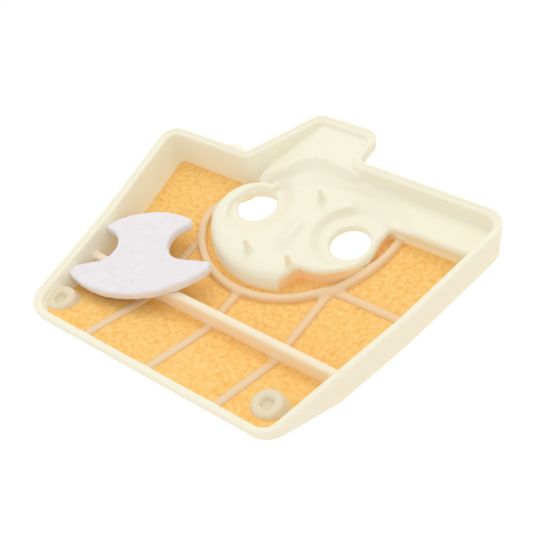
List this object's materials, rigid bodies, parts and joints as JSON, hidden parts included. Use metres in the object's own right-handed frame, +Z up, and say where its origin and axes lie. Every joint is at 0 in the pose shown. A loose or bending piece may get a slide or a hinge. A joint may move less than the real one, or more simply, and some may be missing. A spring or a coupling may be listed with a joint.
{
  "type": "air filter housing",
  "caption": "Shallow nylon half-shell of a clamshell air filter, with filter felt moulded into its ribbed bottom, a raised dish for two studs, and a loose felt pad.",
  "frame": {"origin": "midway between the two stud holes, on the underside of their seats", "axes": "+X along the line of the two stud holes, +Y towards the tab at the back, +Z up to the open rim"},
  "size_m": [0.1053, 0.0921, 0.0123],
  "materials": {
    "nylon": "natural cream nylon, satin, slightly translucent",
    "orange_felt": "orange needled filter felt, matt and fibrous",
    "white_felt": "white pressed felt, matt and fibrous"
  },
  "bodies": {
    "housing": {"left_wall_rear": "nylon", "left_wall_front": "nylon", "front_left_corner": "nylon", "front_wall": "nylon", "front_right_corner": "nylon", "right_wall_front": "nylon", "right_wall_rear": "nylon", "back_right_corner": "nylon", "back_right_wall": "nylon", "tab_right_wall": "nylon", "tab_right_corner": "nylon", "tab_back_wall": "nylon", "tab_left_corner": "nylon", "tab_left_wall": "nylon", "back_left_wall": "nylon", "back_left_corner": "nylon", "notch_clip": "nylon", "dish_floor": "nylon", "left_stud_seat": "nylon", "right_stud_seat": "nylon", "dish_skirt": "nylon", "tab_floor": "nylon", "corner_plate": "nylon", "dish_ring": "nylon", "main_rib": "nylon", "front_ribs": "nylon", "middle_ribs": "nylon", "side_rib": "nylon", "left_post": "nylon", "right_post": "nylon", "locating_pins": "nylon", "filter_felt": "orange_felt", "underside_frame": "nylon"},
    "pad": {"felt_pad": "white_felt"}
  },
  "joints": [
    {"name": "pad_lift", "type": "slide", "parent": "housing", "child": "pad", "axis": [0, 0, 1], "range_m": [0, 0.02]}
  ]
}
